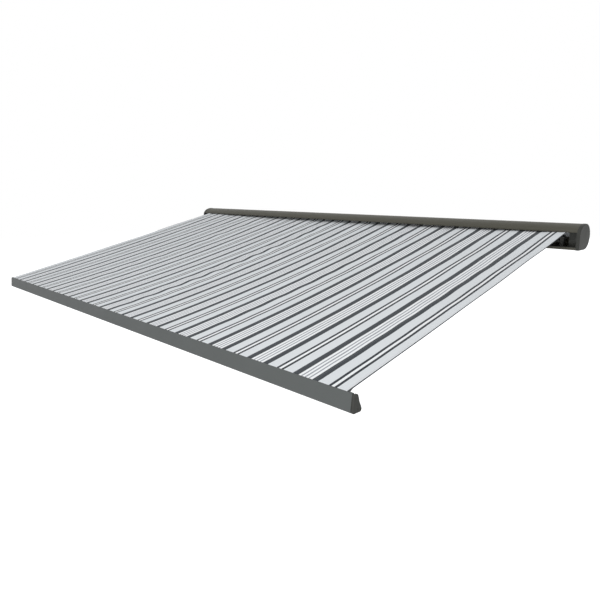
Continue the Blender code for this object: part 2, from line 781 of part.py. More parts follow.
def lug_outline(radius, root_u, low, high, away=1):
    """A lug round a pin at the origin that widens to its root, a line at root_u from low to high."""
    overlap = LUG_OVERLAP * away
    base = [(root_u, low), (root_u, high), (root_u + overlap, low), (root_u + overlap, high)]
    return hull(circle(0, 0, radius) + base)


def pin_hole(name, frame, radius=PIN_R + GAP):
    return rod(name, radius, -ARM_HIGH, ARM_HIGH, frame, CAST)


def make_pin(name, frame, half_height):
    """A headed pin through a lug joint, with a washer head at both ends."""
    made = rod(name, PIN_R, -half_height - PIN_HEAD_HIGH, half_height + PIN_HEAD_HIGH, frame, STEEL)
    for end in (-1, 1):
        near = end * (half_height + GAP)
        far = end * (half_height + GAP + PIN_HEAD_HIGH)
        join(made, rod(f"{name}_head_{end}", PIN_HEAD_R, min(near, far), max(near, far), frame, STEEL))
    return made


def cheek_pair(name, outline, frame, thick, material):
    """Two equal lugs, one above and one below the eye that they hold."""
    pair = []
    for end in (-1, 1):
        place = shifted(frame, 0, 0, end * (EYE_SLOT + thick / 2))
        pair.append(extrusion(f"{name}_{end}", [outline], thick, place, material))
    return pair


def make_upper_arm():
    frame = upper_arm_frame()
    half_wide = ARM_WIDE / 2
    lug_half = half_wide - LUG_INSET
    tube_start = SHOULDER_ROOT + SHOULDER_BLOCK
    tube_end = ARM_RUN - ELBOW_ROOT - ELBOW_BLOCK
    tube = make_tube("upper_arm_tube_right", frame, tube_start + GAP, tube_end - GAP, 0)

    eye = solid_length("shoulder_eye_right", frame, SHOULDER_ROOT, tube_start, 0, 0)
    join(eye, solid_length("shoulder_plug", frame, tube_start - PLUG_OVERLAP, tube_start + PLUG_DEPTH, 0, PLUG_SHRINK))
    lug = lug_outline(EYE_R, SHOULDER_ROOT, -lug_half, lug_half)
    join(eye, extrusion("shoulder_lug", [lug], EYE_THICK, frame, CAST))
    cut(eye, pin_hole("shoulder_bore", frame))

    fork = solid_length("elbow_fork_right", frame, tube_end, tube_end + ELBOW_BLOCK, 0, 0)
    join(fork, solid_length("fork_plug", frame, tube_end - PLUG_DEPTH, tube_end + PLUG_OVERLAP, 0, PLUG_SHRINK))
    elbow = shifted(frame, ARM_RUN, ELBOW_OFFSET)
    thick = ARM_HIGH / 2 - EYE_SLOT
    outline = lug_outline(CHEEK_R, -ELBOW_ROOT, -lug_half - ELBOW_OFFSET, lug_half - ELBOW_OFFSET, -1)
    join(fork, *cheek_pair("elbow_cheek", outline, elbow, thick, CAST))
    cut(fork, pin_hole("elbow_fork_bore", elbow))
    pin = make_pin("elbow_pin_right", elbow, ARM_HIGH / 2)

    spring = make_spring(frame, tube_start + PLUG_DEPTH + GAP)
    return tube, eye, fork, pin, spring


def make_spring(frame, start):
    """The tension spring inside the upper tube, hooked to the shoulder's plug."""
    curve = bpy.data.curves.new("arm_spring_wire", "CURVE")
    curve.dimensions = "3D"
    curve.bevel_depth = SPRING_WIRE_R
    curve.bevel_resolution = 0
    curve.use_fill_caps = True
    count = SPRING_TURNS * SPRING_POINTS_PER_TURN
    spline = curve.splines.new("POLY")
    spline.points.add(count)
    begin = start + SPRING_WIRE_R
    for i, point in enumerate(spline.points):
        turn = 2 * math.pi * i / SPRING_POINTS_PER_TURN
        point.co = (begin + SPRING_LENGTH * i / count, SPRING_R * math.cos(turn), SPRING_R * math.sin(turn), 1)
    return mesh_from_curve("arm_spring_right", curve, frame, STEEL)


def make_forearm():
    frame = forearm_frame()
    half_wide = ARM_WIDE / 2
    lug_half = half_wide - LUG_INSET
    tube_start = ELBOW_ROOT + ELBOW_BLOCK
    tube_end = ARM_RUN - WRIST_ROOT - WRIST_BLOCK
    tube = make_tube("forearm_tube_right", frame, tube_start + GAP, tube_end - GAP, ELBOW_OFFSET)

    eye = solid_length("elbow_eye_right", frame, ELBOW_ROOT, tube_start, ELBOW_OFFSET, 0)
    join(eye, solid_length("elbow_plug", frame, tube_start - PLUG_OVERLAP, tube_start + PLUG_DEPTH, ELBOW_OFFSET,
                           PLUG_SHRINK))
    outline = lug_outline(EYE_R, ELBOW_ROOT, ELBOW_OFFSET - lug_half, ELBOW_OFFSET + lug_half)
    join(eye, extrusion("elbow_lug", [outline], EYE_THICK, frame, CAST))
    cut(eye, pin_hole("elbow_eye_bore", frame))

    wrist = shifted(frame, ARM_RUN, ELBOW_OFFSET)
    hand = solid_length("wrist_eye_right", frame, tube_end, tube_end + WRIST_BLOCK, ELBOW_OFFSET, 0)
    join(hand, solid_length("wrist_plug", frame, tube_end - PLUG_DEPTH, tube_end + PLUG_OVERLAP, ELBOW_OFFSET,
                            PLUG_SHRINK))
    outline = lug_outline(EYE_R, -WRIST_ROOT, -lug_half, lug_half, -1)
    join(hand, extrusion("wrist_lug", [outline], EYE_THICK, wrist, CAST))
    cut(hand, pin_hole("wrist_eye_bore", wrist, PIN_R + 2 * GAP))
    return tube, eye, hand


def make_shoulder_bracket():
    """A clevis round the arm's eye, on a foot that stands between the two tracks of the cassette's floor."""
    frame = plane_frame(ARM_X, -ARM_BACK, -ARM_DROP)
    half_wide = ARM_WIDE / 2
    lug_half = half_wide - LUG_INSET
    thick = ARM_HIGH / 2 - EYE_SLOT
    root = SHOULDER_ROOT
    made = box("shoulder_bracket_right", (root, -half_wide, -ARM_HIGH / 2),
               (root + SHOULDER_BLOCK, half_wide, ARM_HIGH / 2), frame, CAST, bevel=0.002)
    outline = lug_outline(CHEEK_R, root, -lug_half, lug_half)
    join(made, *cheek_pair("shoulder_cheek", outline, frame, thick, CAST))
    pivot = frame.translation
    foot = box("shoulder_foot", (pivot.x + root + LUG_INSET, pivot.y - PEDESTAL_WIDE / 2, FLOOR_TOP + GAP),
               (pivot.x + root + SHOULDER_BLOCK - LUG_INSET, pivot.y + PEDESTAL_WIDE / 2, pivot.z),
               Matrix.Identity(4), CAST)
    join(made, foot)
    cut(made, pin_hole("shoulder_bracket_bore", frame))
    pin = make_pin("shoulder_pin_right", frame, ARM_HIGH / 2)
    return made, pin


# Front bar

def bar_origin():
    return on_slope(0, PROJECTION, 0)


def bar_frame(x):
    """Local X outwards from the wall, local Y up, local Z towards the world's -X, from the fabric's entry."""
    origin = bar_origin()
    return frame_at((x, origin.y, origin.z), (0, -1, 0), (0, 0, 1))


BAR_OUTLINE = [(0, BAR_TOP), (0.014, BAR_TOP), (0.026, -0.090), (0.021, -0.0965), (-0.012, -0.088),
               (-0.021, -0.078), (-0.021, -0.060), (-0.004, -0.040), (0, -0.030)]
BAR_RADII = [0.001, 0.003, 0.005, 0.005, 0.010, 0.007, 0.012, 0.010, 0.010]
BAR_CHAMBER = [(0.0028, -0.0205), (0.0137, -0.0205), (0.0225, -0.087), (0.019, -0.0925), (-0.0105, -0.0848),
               (-0.0182, -0.0765), (-0.0182, -0.0615), (-0.0015, -0.0415), (0.0028, -0.0315)]
BAR_CHAMBER_RADII = [0.002, 0.002, 0.003, 0.003, 0.006, 0.005, 0.008, 0.006, 0.006]
BAR_CAP_OUTLINE = [(-0.014, -0.005), (0.014, -0.002), (0.0225, -0.088), (0.018, -0.098), (-0.034, -0.098),
                   (-0.0415, -0.086), (-0.039, -0.074), (-0.025, -0.044)]
BAR_CAP_RADII = [0.004, 0.003, 0.004, 0.004, 0.006, 0.006, 0.006, 0.012]


def make_front_bar():
    made = extrusion("front_bar", [fillet(BAR_OUTLINE, BAR_RADII, 3), fillet(BAR_CHAMBER, BAR_CHAMBER_RADII, 3)],
                     BAR_LENGTH, bar_frame(0), BAR_COAT)
    slot = extrusion("hem_slot", [rectangle(BAR_SLOT_A - BAR_SLOT_WIDE / 2, -HEM_ROD_DROP,
                                            BAR_SLOT_A + BAR_SLOT_WIDE / 2, 2 * BAR_TOP)],
                     BAR_LENGTH + 2 * BAR_CAP_THICK, bar_frame(0), BAR_COAT)
    channel = extrusion("hem_channel", [circle(BAR_SLOT_A, -HEM_ROD_DROP, HEM_ROD_R + 2 * GAP, 16)],
                        BAR_LENGTH + 2 * BAR_CAP_THICK, bar_frame(0), BAR_COAT)
    return cut(made, slot, channel)


def make_bar_cap():
    x = BAR_LENGTH / 2 + GAP + BAR_CAP_THICK / 2
    made = extrusion("bar_cap_right", [fillet(BAR_CAP_OUTLINE, BAR_CAP_RADII, 2)], BAR_CAP_THICK,
                     bar_frame(x), CAP_COAT)
    return round_rim(made, -BAR_CAP_THICK / 2, BAR_CAP_EDGE, 2)


def make_wrist_bracket():
    """A clevis round the forearm's eye on a pad that is bolted to the bar's rear lobe."""
    wrist = wrist_point()
    frame = frame_at(wrist, ALONG, OUT)
    origin = bar_origin()
    half_high = EYE_SLOT + WRIST_CHEEK_THICK
    rear = min(a for a, b in BAR_OUTLINE)
    lobe_middle = (BAR_OUTLINE[5][1] + BAR_OUTLINE[6][1]) / 2
    bar_side = origin.y - rear + GAP
    pad_low = origin.z + lobe_middle - WRIST_PAD_HIGH / 2
    made = box("wrist_bracket_right", (wrist.x - WRIST_PAD_WIDE / 2, bar_side, pad_low),
               (wrist.x + WRIST_PAD_WIDE / 2, bar_side + WRIST_PAD_THICK, pad_low + WRIST_PAD_HIGH),
               Matrix.Identity(4), CAST)
    root = WRIST_CLEVIS_ROOT
    outline = hull(circle(0, 0, EYE_R) + rectangle(-EYE_R, root, EYE_R, root + LUG_OVERLAP))
    join(made, *cheek_pair("wrist_cheek", outline, frame, WRIST_CHEEK_THICK, CAST))
    block = box("wrist_block", (-EYE_R, root, -half_high), (EYE_R, root + WRIST_WEB, half_high), frame, CAST)
    join(made, block)
    cut(made, pin_hole("wrist_bracket_bore", frame))
    pin = make_pin("wrist_pin_right", frame, half_high)
    return made, pin


def make_hem_rod():
    return rod("hem_rod", HEM_ROD_R, -FABRIC_WIDTH / 2, FABRIC_WIDTH / 2,
               shifted(bar_frame(0), BAR_SLOT_A, -HEM_ROD_DROP), PLASTIC, sides=12)


# Fabric

def fabric_path():
    """From the top of the roll, under the lip and down to the bar's slot, sagging in between."""
    start = -ROLLER_BACK
    lift = ROLLER_TOP + GAP + FABRIC_THICK / 2
    entry = PROJECTION - FABRIC_LANDING
    end_lift = BAR_TOP + GAP + FABRIC_THICK
    points = []
    for i in range(FABRIC_STEPS + 1):
        share = i / FABRIC_STEPS
        s = start + (entry - start) * share
        h = lift + (end_lift - lift) * share - 4 * FABRIC_SAG * share * (1 - share)
        place = on_slope(0, s, h)
        points.append((place.y, place.z))
    origin = bar_origin()
    slot_y = origin.y - BAR_SLOT_A
    points.append((slot_y + FABRIC_TURN_R, origin.z + end_lift - GAP))
    points.append((slot_y, origin.z + end_lift - FABRIC_TURN_R))
    points.append((slot_y, origin.z - HEM_ROD_DROP + HEM_ROD_R + GAP))
    return points


def make_fabric():
    return bent_sheet("fabric", fabric_path(), -FABRIC_WIDTH / 2, FABRIC_WIDTH / 2, FABRIC_THICK, 0, STRIPES)


# Assembly: every moving group hangs on an empty that lies on its joint's axis

wall = empty("wall_plate_group", Matrix.Identity(4))
cassette = empty("cassette_tilt_axis", Matrix.Translation(TILT_AXIS))
roller = empty("roller_axis_point", axle_frame(0))
front = empty("front_bar_carrier", bar_frame(0))
adopt(wall, cassette)
adopt(cassette, roller)

for side, x in BRACKET_PLACES.items():
    adopt(wall, make_wall_bracket(side, x), make_lock_screw(side, x))
    for name, (across, up) in WALL_BOLTS.items():
        adopt(wall, make_wall_bolt(f"wall_bolt_{side}_{name}", x + across, up * BOLT_Z))

back = make_cassette_back()
gland, gland_hole = make_gland()
cut(back, gland_hole)
cap = make_end_cap()
carrier = make_carrier()
motor_head, motor_body = make_motor()
shoulder_bracket, shoulder_pin = make_shoulder_bracket()
fabric = make_fabric()
adopt(cassette, back, make_cassette_cover(), gland, cap, carrier, motor_head, motor_body,
      shoulder_bracket, shoulder_pin, fabric)
for made in (cap, carrier, shoulder_bracket, shoulder_pin):
    adopt(cassette, mirrored(made, made.name.replace("_right", "_left")))

adopt(roller, *make_roller())

for side, pieces, frame in (("shoulder", make_upper_arm(), upper_arm_frame()),
                            ("elbow", make_forearm(), forearm_frame())):
    pivot = empty(f"{side}_axis_right", frame)
    across = Matrix.Scale(-1, 4, (1, 0, 0))
    flip = Matrix.Scale(-1, 4, (0, 0, 1))
    other = empty(f"{side}_axis_left", across @ frame @ flip)
    for made in pieces:
        copy = mirrored(made, made.name.replace("_right", "_left"))
        adopt(pivot, made)
        adopt(other, copy)

bar_cap = make_bar_cap()
wrist_bracket, wrist_pin = make_wrist_bracket()
adopt(front, make_front_bar(), make_hem_rod(), bar_cap, wrist_bracket, wrist_pin)
for made in (bar_cap, wrist_bracket, wrist_pin):
    adopt(front, mirrored(made, made.name.replace("_right", "_left")))
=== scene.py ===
"""Looks of the folding-arm awning: finishes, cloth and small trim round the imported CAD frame.

Metres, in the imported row's frame: X runs along the cassette, the awning is on the wall's -Y
side and Z is up. On the slope plane of the stretched cloth, s runs outwards from the
cassette's lip and h is the height over the plane.
"""
import json
import math

import bmesh
import bpy
from mathutils import Matrix, Vector


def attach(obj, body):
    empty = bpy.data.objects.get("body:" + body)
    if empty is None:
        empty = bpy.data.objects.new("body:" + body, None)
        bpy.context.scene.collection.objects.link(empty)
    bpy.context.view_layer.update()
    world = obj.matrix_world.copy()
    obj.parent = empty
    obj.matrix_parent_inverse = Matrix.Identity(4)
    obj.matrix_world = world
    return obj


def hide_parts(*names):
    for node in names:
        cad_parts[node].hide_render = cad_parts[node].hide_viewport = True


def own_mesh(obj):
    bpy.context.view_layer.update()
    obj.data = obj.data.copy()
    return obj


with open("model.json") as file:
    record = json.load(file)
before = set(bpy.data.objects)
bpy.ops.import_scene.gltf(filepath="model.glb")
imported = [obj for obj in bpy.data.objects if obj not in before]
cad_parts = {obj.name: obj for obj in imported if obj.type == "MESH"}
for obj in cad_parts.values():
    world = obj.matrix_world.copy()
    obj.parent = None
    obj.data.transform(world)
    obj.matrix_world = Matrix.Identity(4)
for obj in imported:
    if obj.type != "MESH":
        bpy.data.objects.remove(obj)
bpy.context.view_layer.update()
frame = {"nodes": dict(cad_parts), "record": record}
nodes = frame["nodes"]


# Sizes shared with the CAD model

PITCH = math.radians(13.3)
OUT = Vector((0, -math.cos(PITCH), -math.sin(PITCH)))
NORMAL = Vector((0, -math.sin(PITCH), math.cos(PITCH)))
ALONG = Vector((1, 0, 0))
LIP = Vector((0, -0.245, 0.0305))
CLOTH_WIDTH = 4.75
ROLL_S = -0.145
ROLL_H = 0.0058
BAR_S = 2.636
BAR_LANDING = 0.006
BAR_H = 0.0028
BAR_SLOT = 0.0065
HEM_DROP = 0.0042
ARM_X = 2.270
ARM_S = -0.080
ARM_H = -0.076
ARM_OPEN = math.radians(75)
ARM_RUN = 1.3798
ELBOW_OFFSET = 0.024
ARM_HIGH = 0.046


def on_slope(x, s, h):
    return LIP + ALONG * x + OUT * s + NORMAL * h


# Camera at the photograph's viewpoint

CAMERA_PLACE = (3.957, -4.692, 0.366)
CAMERA_DOWN = math.radians(11.53)
CAMERA_TURN = math.radians(45.51)
FOCAL_PIXELS = 545.6
PICTURE_PIXELS = 600

camera_data = bpy.data.cameras.new("camera")
camera_data.sensor_width = 36
camera_data.lens = camera_data.sensor_width * FOCAL_PIXELS / PICTURE_PIXELS
camera_data.clip_start = 0.05
camera_data.clip_end = 60
camera = bpy.data.objects.new("camera", camera_data)
camera.location = CAMERA_PLACE
camera.rotation_euler = (math.pi / 2 - CAMERA_DOWN, 0, CAMERA_TURN)
bpy.context.scene.collection.objects.link(camera)
bpy.context.scene.camera = camera


# Node helpers

def add(tree, kind, settings=None, inputs=None):
    """A shader node; inputs are constants or sockets, by name or by number."""
    made = tree.nodes.new("ShaderNode" + kind)
    for name, value in (settings or {}).items():
        setattr(made, name, value)
    for name, value in (inputs or {}).items():
        if isinstance(value, bpy.types.NodeSocket):
            tree.links.new(value, made.inputs[name])
        else:
            made.inputs[name].default_value = value
    return made


def math_node(tree, operation, first, second=0.0, clamp=False):
    settings = {"operation": operation, "use_clamp": clamp}
    return add(tree, "Math", settings, {0: first, 1: second}).outputs[0]


def stretched(tree, vector, scale):
    return add(tree, "Mapping", inputs={"Vector": vector, "Scale": scale}).outputs["Vector"]


def noise(tree, vector, scale, detail=2.0, roughness=0.5):
    return add(tree, "TexNoise", inputs={"Vector": vector, "Scale": scale, "Detail": detail,
                                         "Roughness": roughness}).outputs["Fac"]


def between(tree, value, low, high):
    """Maps 0..1 onto low..high."""
    ends = {"Value": value, "To Min": low, "To Max": high}
    return add(tree, "MapRange", inputs=ends).outputs["Result"]


def blend_colours(tree, share, first, second):
    """Inputs 6 and 7 and output 2 are the colour sockets of a Mix node."""
    inputs = {"Factor": share, 6: first, 7: second}
    return add(tree, "Mix", {"data_type": "RGBA"}, inputs).outputs[2]


def bump(tree, height, distance, strength, under=None):
    inputs = {"Height": height, "Distance": distance, "Strength": strength}
    if under is not None:
        inputs["Normal"] = under
    return add(tree, "Bump", inputs=inputs).outputs["Normal"]


def principled(name, **values):
    """A material with a Principled shader; sockets that are the same all over are set here."""
    made = bpy.data.materials.new(name)
    made.use_nodes = True
    shader = made.node_tree.nodes["Principled BSDF"]
    for socket, value in values.items():
        shader.inputs[socket.replace("_", " ")].default_value = value
    return made, made.node_tree


def wired(made, **sockets):
    """Links what varies over the surface to the material's Principled shader."""
    shader = made.node_tree.nodes["Principled BSDF"]
    for socket, value in sockets.items():
        made.node_tree.links.new(value, shader.inputs[socket.replace("_", " ")])
    return made


def shaded(colour, factor):
    return (colour[0] * factor, colour[1] * factor, colour[2] * factor, 1)


def worn_edges(tree, place, radius):
    """How far a spot is on a rubbed outer edge, from 0 to 1."""
    rounded = add(tree, "Bevel", {"samples": 4}, {"Radius": radius})
    true = add(tree, "NewGeometry")
    agree = add(tree, "VectorMath", {"operation": "DOT_PRODUCT"},
                {0: rounded.outputs["Normal"], 1: true.outputs["Normal"]}).outputs["Value"]
    turned = math_node(tree, "MULTIPLY", math_node(tree, "SUBTRACT", 1.0, agree), 5.0, clamp=True)
    broken = between(tree, noise(tree, place, scale=90.0, detail=3.0), 0.15, 1.0)
    return math_node(tree, "MULTIPLY", turned, broken, clamp=True)


# Materials

COAT_EDGE = 0.0022
CASTING_EDGE = 0.003
PEEL = 0.00016
# The wound cloth's colour is multiplied by about this much: painted shade inside the cassette
WOUND_PAINTED_SHADE = 0.55


def powder_coat(name, colour, roughness, extruded=True):
    """Satin powder coat: orange peel, fine grain, faint die lines along X and rubbed edges."""
    made, tree = principled(name, Metallic=0.0, Specular_IOR_Level=0.24, Coat_Weight=0.02,
                            Coat_Roughness=0.35)
    place = add(tree, "TexCoord").outputs["Object"]
    patches = noise(tree, place, scale=2.3, detail=3.0)
    flecks = noise(tree, place, scale=420.0, detail=1.0)
    tone = math_node(tree, "ADD", math_node(tree, "MULTIPLY", patches, 0.6),
                     math_node(tree, "MULTIPLY", flecks, 0.4))
    base = blend_colours(tree, tone, shaded(colour, 0.88), shaded(colour, 1.12))
    rubbed = math_node(tree, "MULTIPLY", worn_edges(tree, place, COAT_EDGE), 0.35)
    matt = noise(tree, place, scale=11.0, detail=4.0)
    relief = bump(tree, noise(tree, place, scale=260.0), distance=PEEL, strength=0.6)
    relief = bump(tree, flecks, distance=PEEL * 0.3, strength=0.5, under=relief)
    if extruded:
        lines = noise(tree, stretched(tree, place, (0.25, 260.0, 260.0)), scale=1.0)
        relief = bump(tree, lines, distance=0.00006, strength=0.5, under=relief)
    return wired(made, Base_Color=blend_colours(tree, rubbed, base, shaded(colour, 1.9)),
                 Roughness=between(tree, matt, roughness - 0.07, roughness + 0.07),
                 Normal=relief)


def cast_coat(name, colour):
    """Coated die casting: a coarser skin with small pits."""
    made, tree = principled(name, Metallic=0.0, Specular_IOR_Level=0.45)
    place = add(tree, "TexCoord").outputs["Object"]
    skin = noise(tree, place, scale=150.0, detail=5.0, roughness=0.6)
    pits = add(tree, "TexVoronoi", inputs={"Vector": place, "Scale": 320.0}).outputs["Distance"]
    base = blend_colours(tree, skin, shaded(colour, 0.82), shaded(colour, 1.2))
    rubbed = math_node(tree, "MULTIPLY", worn_edges(tree, place, CASTING_EDGE), 0.4)
    relief = bump(tree, skin, distance=0.0004, strength=0.6)
    relief = bump(tree, pits, distance=0.0002, strength=0.4, under=relief)
    return wired(made, Base_Color=blend_colours(tree, rubbed, base, shaded(colour, 2.2)),
                 Roughness=between(tree, skin, 0.48, 0.68), Normal=relief)


def plated_steel(name, colour, roughness, spangle=0.0):
    """Zinc-plated steel with a brushed or, with spangle, a galvanised surface."""
    made, tree = principled(name, Metallic=1.0)
    place = add(tree, "TexCoord").outputs["Object"]
    cloudy = noise(tree, place, scale=35.0, detail=4.0)
    base = blend_colours(tree, cloudy, shaded(colour, 0.8), shaded(colour, 1.15))
    if spangle:
        cells = add(tree, "TexVoronoi", inputs={"Vector": place, "Scale": 70.0}).outputs["Color"]
        grey = add(tree, "SeparateColor", inputs={"Color": cells}).outputs[0]
        base = blend_colours(tree, between(tree, grey, 0.0, spangle), base, shaded(colour, 0.55))
    scratches = noise(tree, stretched(tree, place, (30.0, 900.0, 900.0)), scale=1.0)
    return wired(made, Base_Color=base,
                 Roughness=between(tree, cloudy, roughness - 0.08, roughness + 0.12),
                 Normal=bump(tree, scratches, distance=0.00008, strength=0.4))


def moulded_plastic(name, colour, roughness):
    made, tree = principled(name, Metallic=0.0, Specular_IOR_Level=0.45)
    place = add(tree, "TexCoord").outputs["Object"]
    grain = noise(tree, place, scale=900.0)
    soft = noise(tree, place, scale=25.0, detail=3.0)
    base = blend_colours(tree, soft, shaded(colour, 0.85), shaded(colour, 1.25))
    return wired(made, Base_Color=base,
                 Roughness=between(tree, grain, roughness - 0.06, roughness + 0.08),
                 Normal=bump(tree, grain, distance=0.0001, strength=0.6))


# The stripes, from the left end of one repeat: where each band begins, as a share of it, and
# its colour
REPEATS = 12.52
WHITE = (0.83, 0.84, 0.845, 1)
GREY = (0.69, 0.715, 0.73, 1)
THICK = (0.034, 0.040, 0.047, 1)
PAIR = (0.018, 0.022, 0.029, 1)
FINE = (0.28, 0.30, 0.33, 1)
BANDS = [(0.0, WHITE), (0.0270, PAIR), (0.0730, GREY), (0.261, THICK), (0.369, WHITE),
         (0.4195, FINE), (0.4445, WHITE), (0.4875, FINE), (0.5125, WHITE), (0.5555, FINE),
         (0.5805, WHITE), (0.631, THICK), (0.739, GREY), (0.9270, PAIR), (0.9730, WHITE)]
EDGE_BAND = 0.008
EDGE_COLOUR = (0.018, 0.021, 0.026, 1)

SEAMS = (2.157, 1.019, -0.119, -1.257)
SEAM_WIDE = 0.020
HEM_WIDE = 0.022
STITCH_COLOUR = (0.42, 0.43, 0.44, 1)
STITCH_PITCH = 0.0042
STITCH_SHARE = 0.68
THREAD = 0.00045
STITCH_INSET = 0.004
EDGE_STITCH = 0.0045
YARN_PITCH = 0.00075


def stripes(tree, across):
    """The colour of a spot from its place across the cloth, in metres from the middle."""
    share = math_node(tree, "FRACT", math_node(tree, "DIVIDE", across, CLOTH_WIDTH / REPEATS))
    ramp = add(tree, "ValToRGB", inputs={"Fac": share})
    ramp.color_ramp.interpolation = "CONSTANT"
    ramp.color_ramp.elements.remove(ramp.color_ramp.elements[1])
    ramp.color_ramp.elements[0].color = BANDS[0][1]
    for begin, colour in BANDS[1:]:
        ramp.color_ramp.elements.new(begin).color = colour
    return ramp.outputs["Color"]


def stitch_rows(tree, across, down, rows):
    """Where a stitch shows, from 0 to 1: short dashes on each row."""
    dash = math_node(tree, "FRACT", math_node(tree, "DIVIDE", down, STITCH_PITCH))
    long_enough = math_node(tree, "LESS_THAN", dash, STITCH_SHARE)
    total = None
    for row in rows:
        off = math_node(tree, "ABSOLUTE", math_node(tree, "SUBTRACT", across, row))
        near = math_node(tree, "LESS_THAN", off, THREAD)
        total = near if total is None else math_node(tree, "MAXIMUM", total, near)
    return math_node(tree, "MULTIPLY", total, long_enough)


def awning_cloth(name, wound=False):
    """Woven acrylic: stripes in the warp, a plain weave and faint soiling against flatness.

    The wound cloth has no UV map, so its own axes place the stripes, and it is darkened as painted
    shade.
    """
    made, tree = principled(name, Metallic=0.0, Specular_IOR_Level=0.25, Roughness=0.85,
                            Sheen_Weight=0.15, Sheen_Roughness=0.5)
    if wound:
        place = add(tree, "TexCoord").outputs["Object"]
    else:
        place = add(tree, "UVMap", {"uv_map": "metres"}).outputs["UV"]
    split = add(tree, "SeparateXYZ", inputs={"Vector": place})
    across = split.outputs["X"]
    down = split.outputs["Z" if wound else "Y"]
    colour = stripes(tree, across)
    yarns = 2 * math.pi / YARN_PITCH
    warp = math_node(tree, "SINE", math_node(tree, "MULTIPLY", across, yarns))
    weft = math_node(tree, "SINE", math_node(tree, "MULTIPLY", down, yarns))
    weave = math_node(tree, "MULTIPLY", warp, weft)
    slub = noise(tree, stretched(tree, place, (900.0, 12.0, 1.0)), scale=1.0)
    soft = noise(tree, place, scale=1.7, detail=3.0)
    shade = math_node(tree, "ADD", between(tree, slub, -0.06, 0.06),
                      between(tree, soft, -0.05, 0.05))
    shade = math_node(tree, "ADD", shade, between(tree, weave, 0.0, 0.03))
    # For the wound cloth this scales the colour to about 0.55: painted shade inside the cassette
    shade = math_node(tree, "ADD", shade, WOUND_PAINTED_SHADE if wound else 1.0)
    grey = add(tree, "CombineXYZ", inputs={0: shade, 1: shade, 2: shade}).outputs["Vector"]
    colour = add(tree, "VectorMath", {"operation": "MULTIPLY"},
                 {0: colour, 1: grey}).outputs["Vector"]
    relief = bump(tree, weave, distance=0.00012, strength=0.5)
    relief = bump(tree, slub, distance=0.00010, strength=0.4, under=relief)
    if not wound:
        rows = [side * (CLOTH_WIDTH / 2 - inset)
                for side in (-1, 1) for inset in (EDGE_STITCH, HEM_WIDE - STITCH_INSET)]
        rows += [seam + side * (SEAM_WIDE / 2 - STITCH_INSET) for seam in SEAMS for side in (-1, 1)]
        stitch = stitch_rows(tree, across, down, rows)
        faint = math_node(tree, "MULTIPLY", stitch, 0.4)
        colour = blend_colours(tree, faint, colour, STITCH_COLOUR)
        off = math_node(tree, "ABSOLUTE", across)
        edge = math_node(tree, "GREATER_THAN", off, CLOTH_WIDTH / 2 - EDGE_BAND)
        colour = blend_colours(tree, edge, colour, EDGE_COLOUR)
        relief = bump(tree, stitch, distance=0.0004, strength=0.8, under=relief)
    return wired(made, Base_Color=colour, Normal=relief)


CASSETTE = powder_coat("coated_cassette", (0.068, 0.065, 0.050), 0.50)
CAPS = powder_coat("coated_caps", (0.035, 0.036, 0.032), 0.56, extruded=False)
BAR = powder_coat("coated_bar", (0.088, 0.095, 0.093), 0.54)
ARMS = powder_coat("coated_arms", (0.075, 0.075, 0.067), 0.48)
CASTING = cast_coat("coated_casting", (0.060, 0.060, 0.054))
ZINC = plated_steel("zinc_plated_steel", (0.55, 0.55, 0.53), 0.34)
GALVANISED = plated_steel("galvanised_steel", (0.50, 0.51, 0.52), 0.40, spangle=0.5)
PLASTIC = moulded_plastic("black_plastic", (0.022, 0.022, 0.023), 0.5)
RUBBER = moulded_plastic("black_rubber", (0.014, 0.014, 0.014), 0.68)
CLOTH = awning_cloth("striped_cloth")
ROLLED_CLOTH = awning_cloth("striped_cloth_wound", wound=True)

SLOT_FINISH = {"cassette_coat": CASSETTE, "cap_coat": CAPS, "bar_coat": BAR, "arm_coat": ARMS,
               "casting_coat": CASTING, "zinc_steel": ZINC, "roller_steel": GALVANISED,
               "black_plastic": PLASTIC, "striped_fabric": ROLLED_CLOTH}
for part in frame["record"]["subparts"]:
    node = nodes[part["node"]]
    node.data.materials.clear()
    node.data.materials.append(SLOT_FINISH[part["material_slot"]])


# Making pieces

SHARP_ANGLE = math.radians(35)


def new_object(name, mesh, body, slot, material=None):
    """A piece on a body, in its slot's finish unless it has a material of its own."""
    made = bpy.data.objects.new(name, mesh)
    bpy.context.scene.collection.objects.link(made)
    made.data.materials.append(material or SLOT_FINISH[slot])
    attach(made, body)
    return made


# The cloth, between the roll and the front bar's slot

CLOTH_STEPS = 150
CLOTH_ROWS = 160
BORDER_STEP = 0.001
LEAST_STEP = 0.0006
EDGE_SAG = 0.008
MIDDLE_SAG = 0.040
EDGE_DROP = 0.002
MIDDLE_DROP = 0.030
DROP_EASE = 0.06
LOOSE_POWER = 0.7
# The rise, the length and the phase of the wave along each of SEAMS
SEAM_WAVES = ((0.0015, 0.30, 0.0), (0.0018, 0.27, 1.7), (0.0042, 0.24, 3.4), (0.0030, 0.29, 5.1))
SEAM_REACH = 0.13
SLANT_RISE = 0.0050
SLANT_FADE = 0.9
SLANT_DOWN = 0.85
SLANT_ACROSS = 0.40
SLANT_PHASE = 2.95
SEAM_RAISE = 0.0005
SLOT_BEND = 0.0015
SLOT_EASE = 0.0003
CLOTH_THICK = 0.0007
START_S = ROLL_S

HALF_CLOTH = CLOTH_WIDTH / 2
BORDERS = [(-HALF_CLOTH, -HALF_CLOTH + HEM_WIDE), (HALF_CLOTH - HEM_WIDE, HALF_CLOTH)]
BORDERS += [(seam - SEAM_WIDE / 2, seam + SEAM_WIDE / 2) for seam in SEAMS]


